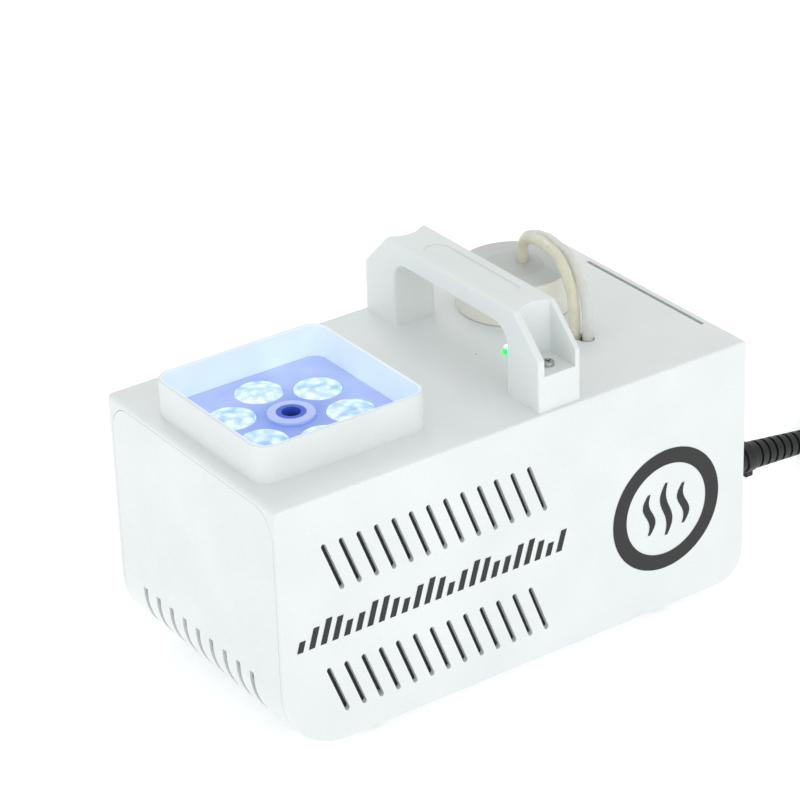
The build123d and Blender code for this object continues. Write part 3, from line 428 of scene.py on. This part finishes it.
# plain finishes: the nodes they cover, then what surface() takes
finishes = [
    # polyester powder coat on sheet steel: near white, satin, faint orange peel
    (["cover", "chassis"],
     {"name": "whitePowderCoat", "rough": 0.42, **paintSettings}),
    # satin ABS with a fine spark-eroded texture
    (["handle"],
     {"name": "whiteAbs", "low": "#e3e7e6", "high": "#ecefee", "grainMm": 0.7, "rough": 0.38, "bump": 0.14}),
    # smooth grey polypropylene
    (["cap_insert"],
     {"name": "greyPolypropylene", "low": "#bfc1bf", "high": "#c9cbc9", "grainMm": 0.8, "rough": 0.45}),
    # soft black rubber, dull and slightly dusty
    (["feet", "cap_liner", "pump_bracket"],
     {"name": "blackRubber", "low": "#141414", "high": "#222222", "grainMm": 0.5, "rough": 0.75, "bump": 0.3,
      "bumpMm": 0.1}),
    # moulded PVC of the sleeve and plug: satin black, shallow mould grain
    (["strain_relief", "plug_body"],
     {"name": "mouldedPvc", "low": "#0d0d0d", "high": "#191919", "grainMm": 0.6, "rough": 0.4, "bump": 0.2,
      "bumpMm": 0.06}),
    # black nylon with a fine eroded texture
    (["cord_gland", "fuse_holder", "fuse_carrier", "switch_body"],
     {"name": "blackNylon", "low": "#0c0c0d", "high": "#181819", "grainMm": 0.4, "rough": 0.34, "bump": 0.2}),
    # polished black rocker
    (["switch_rocker"],
     {"name": "polishedRocker", "low": "#0d0d0e", "high": "#161617", "grainMm": 3.0, "rough": 0.16,
      "bump": 0.03, "bumpMm": 0.03, "roughSpread": 0.05}),
    # zinc plating: pale grey, brushed along the part
    (["cover_screws", "handle_screws", "heater_bracket", "tank_strap", "pump_yoke"],
     {"name": "zincPlate", "low": "#a9abaa", "high": "#c4c6c3", "grainMm": 0.4, "rough": 0.34, "bump": 0.2,
      "bumpMm": 0.04, "roughSpread": 0.1, "stretch": (1, 1, 5), "metal": 1.0}),
    # ground steel of the pump and the element
    (["pump_core", "pump_piston", "heater_element"],
     {"name": "groundSteel", "low": "#9b9d9d", "high": "#c1c3c4", "grainMm": 0.25, "rough": 0.26,
      "bump": 0.15, "bumpMm": 0.02, "stretch": (1, 1, 8), "metal": 1.0}),
    # bright nickel on pins and spring
    (["plug_pins", "pump_spring"],
     {"name": "nickelPlate", "low": "#b3afa6", "high": "#d4d1c9", "grainMm": 0.5, "rough": 0.2, "bump": 0.1,
      "bumpMm": 0.02, "roughSpread": 0.06, "metal": 1.0}),
    # turned brass, drawn out along the axis
    (["nozzle", "heater_inlet", "tank_filter", "led_standoffs"],
     {"name": "turnedBrass", "low": "#a07c35", "high": "#c9a557", "grainMm": 0.3, "rough": 0.3, "bump": 0.2,
      "bumpMm": 0.03, "stretch": (1, 1, 9), "metal": 1.0}),
    # machined aluminium, slightly oxidised
    (["heater_block", "thermal_fuse", "led_driver"],
     {"name": "machinedAluminium", "low": "#a8aaac", "high": "#c9cbcc", "grainMm": 0.5, "rough": 0.38,
      "bump": 0.2, "roughSpread": 0.1, "stretch": (1, 1, 6), "metal": 1.0}),
    # woven glass fibre round the heater: dull, coarse and uneven
    (["heater_insulation"],
     {"name": "glassFibre", "low": "#b9b196", "high": "#e0d9c4", "grainMm": 2.2, "rough": 0.9, "bump": 0.6,
      "bumpMm": 0.5, "roughSpread": 0.05, "stretch": (1, 1, 3)}),
    # black phenolic and taped windings
    (["thermostat", "pump_coil", "pump_head", "board_standoffs", "board_parts"],
     {"name": "blackPhenolic", "low": "#111112", "high": "#232324", "grainMm": 1.2, "rough": 0.55,
      "bump": 0.3, "bumpMm": 0.1}),
    # white solder mask under the lamps
    (["led_board"],
     {"name": "whiteSolderMask", "low": "#d2d6d6", "high": "#e6e9e9", "grainMm": 1.5, "rough": 0.35,
      "bumpMm": 0.03}),
    # green solder mask of the control board
    (["control_board"],
     {"name": "greenSolderMask", "low": "#0c3a1b", "high": "#17562b", "grainMm": 1.8, "rough": 0.3,
      "bump": 0.15, "bumpMm": 0.03}),
    # yellow phosphor over the diodes
    (["led_chips"],
     {"name": "phosphorYellow", "low": "#e9e2a0", "high": "#fff7c8", "grainMm": 0.5, "rough": 0.4,
      "bumpMm": 0.02}),
    # blow-moulded natural polyethylene
    (["tank"],
     {"name": "blownPolyethylene", "low": "#d6d6cc", "high": "#e7e7df", "grainMm": 3.0, "rough": 0.4,
      "bump": 0.2, "bumpMm": 0.2}),
]
for names, finish in finishes:
    dress(names, surface(**finish)[0])
print("materials dressed:", len(bpy.data.materials))


# screen-printed ink: nearly black, satin, standing just proud of the paint
inkSettings = {"name": "screenInk", "low": "#161718", "high": "#202223", "grainMm": 0.8, "rough": 0.45,
               "bump": 0.08, "bumpMm": 0.02}
inkProud = 0.00012
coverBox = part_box("cover")
housingMid = (coverBox[0][0] + coverBox[1][0]) / 2
sideY = coverBox[0][1]
badgeSettings = {"x": 0.0777, "z": 0.0527, "outer": 0.0294, "inner": 0.0220, "steps": 160}


def sheetOnSide(name, x, z, made):
    # x and z are grids of rows; neighbouring rows are joined into a skin just proud of the side, facing -Y
    rows, across = x.shape
    points = np.stack([x, np.full_like(x, sideY - inkProud), z], -1).reshape(-1, 3)
    corner = (np.arange(rows - 1)[:, None] * across + np.arange(across - 1)).ravel()
    faces = np.stack([corner, corner + 1, corner + across + 1, corner + across], 1)
    mesh = meshPiece(name, points, faces, made, "housing", smooth=False).data
    if mesh.polygons[0].normal.y > 0:
        mesh.flip_normals()


def printBadge(s, made):
    # a ring: two circles of points, each middle plus its radius times cosine and sine of the turn
    turn = np.linspace(0, 2 * math.pi, s["steps"] + 1)
    radius = np.array([[s["inner"]], [s["outer"]]])
    x = housingMid + s["x"] + radius * np.cos(turn)
    z = s["z"] + radius * np.sin(turn)
    sheetOnSide("badgeRing", x, z, made)


def printWisps(s, made):
    # three rising wisps inside the ring: one sine wave each, thickest in the middle, the outer two shorter
    run = np.linspace(0, 1, s["steps"])
    half = s["half"] * (s["tip"] + (1 - s["tip"]) * np.sin(math.pi * run))
    for index, (shift, tall) in enumerate(((-1, s["outerHeight"]), (0, s["height"]), (1, s["outerHeight"]))):
        middle = housingMid + badgeSettings["x"] + shift * s["apart"] + s["sway"] * np.sin(2 * math.pi * run)
        z = badgeSettings["z"] - tall / 2 + run * tall
        sheetOnSide(f"badgeWisp{index + 1}", np.stack([middle - half, middle + half]), np.stack([z, z]), made)


def printBand(s, made):
    # slanting strokes; each height follows the size of a sine, like a level that rises and falls
    for index in range(s["count"]):
        left = housingMid + s["start"] + index * s["pitch"]
        tall = s["height"] * (s["shortest"] + (1 - s["shortest"]) * abs(math.sin(index * s["swing"])))
        foot = np.array([left, left + s["width"]])
        x = np.stack([foot, foot + s["lean"] * tall])
        z = np.stack([np.full(2, s["low"]), np.full(2, s["low"] + tall)])
        sheetOnSide(f"bandStroke{index + 1}", x, z, made)


ink = surface(**inkSettings)[0]
printBadge(badgeSettings, ink)
wispSettings = {"apart": 0.0095, "height": 0.026, "outerHeight": 0.02028, "sway": 0.0018, "half": 0.0021,
                "tip": 0.35, "steps": 40}
printWisps(wispSettings, ink)
bandSettings = {"count": 24, "start": -0.115, "pitch": 0.00575, "width": 0.0030, "low": 0.0525,
                "height": 0.0115, "lean": 0.3, "swing": 0.72, "shortest": 0.45}
printBand(bandSettings, ink)
print("print laid on the side")

cordSettings = {
    "diameter": 0.007, "length": 1.36, "coilCentre": (0.258, -0.017), "outerTurn": 0.043, "pitch": 0.007,
    "topLayer": 0.0105, "floorLayer": 0.0035, "perTurn": 16, "turns": 4.954, "startAngle": -61.4,
    # turns at which the coil starts to step in, drop a layer and step out, and how long each takes
    "stepIn": (0.75, 1.75), "drop": 2.5, "stepOut": (3.25, 4.25), "stepSpan": 0.25,
    # out of the sleeve, down under its own weight, on to the coil
    "lead": [(0.15785, -0.054, 0.05227), (0.18967, -0.054, 0.04893), (0.224, -0.0555, 0.0385),
             (0.253, -0.060, 0.0155), (0.279, -0.0555, 0.011)],
    # from the coil's lowest turn round to the plug
    "tail": [(0.267, -0.059, 0.0035), (0.290, -0.050, 0.0035), (0.307, -0.034, 0.0065),
             (0.3165, -0.012, 0.015), (0.3175, 0.010, 0.018)],
}


def ease(x):
    # nought to one, slow at both ends
    x = np.clip(x, 0, 1)
    return x ** 2 * (3 - 2 * x)


def coilPoints(s):
    # angle grows evenly; the radius steps in by one cord near the end of each upper turn, and out in the
    # second quarter of each lower turn; the height drops one layer in the third quarter of the third turn
    count = int(s["perTurn"] * s["turns"])
    turn = np.linspace(0, s["turns"], count + 1)[1:-1]
    inward, outward = [sum(ease((turn - start) / s["stepSpan"]) for start in s[key])
                       for key in ("stepIn", "stepOut")]
    radius = s["outerTurn"] - s["pitch"] * (inward - outward)
    height = s["topLayer"] + (s["floorLayer"] - s["topLayer"]) * ease((turn - s["drop"]) / s["stepSpan"])
    angle = np.radians(s["startAngle"]) + 2 * math.pi * turn
    x = s["coilCentre"][0] + radius * np.cos(angle)
    y = s["coilCentre"][1] + radius * np.sin(angle)
    return np.stack([x, y, height], 1)


def layCord(s, made):
    points = np.concatenate([np.array(s["lead"]), coilPoints(s), np.array(s["tail"])])
    curve = bpy.data.curves.new("mainsCord", "CURVE")
    curve.dimensions = "3D"
    curve.bevel_depth = s["diameter"] / 2
    curve.bevel_resolution = 5
    curve.resolution_u = 6
    curve.use_fill_caps = True
    spline = curve.splines.new("NURBS")
    spline.points.add(len(points) - 1)
    spline.points.foreach_set("co", np.c_[points, np.ones(len(points))].ravel())
    spline.order_u = 3
    spline.use_endpoint_u = True
    curve.materials.append(made)
    cord = bpy.data.objects.new("mainsCord", curve)
    finishPiece(cord, "housing")
    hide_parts("power_cord", "cord_tail", "cord_coil")


# extruded soft PVC: even black with a low broad sheen and a faint drawn texture
sheathSettings = {"name": "extrudedPvcBlack", "low": "#101011", "high": "#1c1c1d", "grainMm": 1.1,
                  "rough": 0.42, "bump": 0.15, "bumpMm": 0.2}
layCord(cordSettings, surface(**sheathSettings)[0])
print("cord laid")
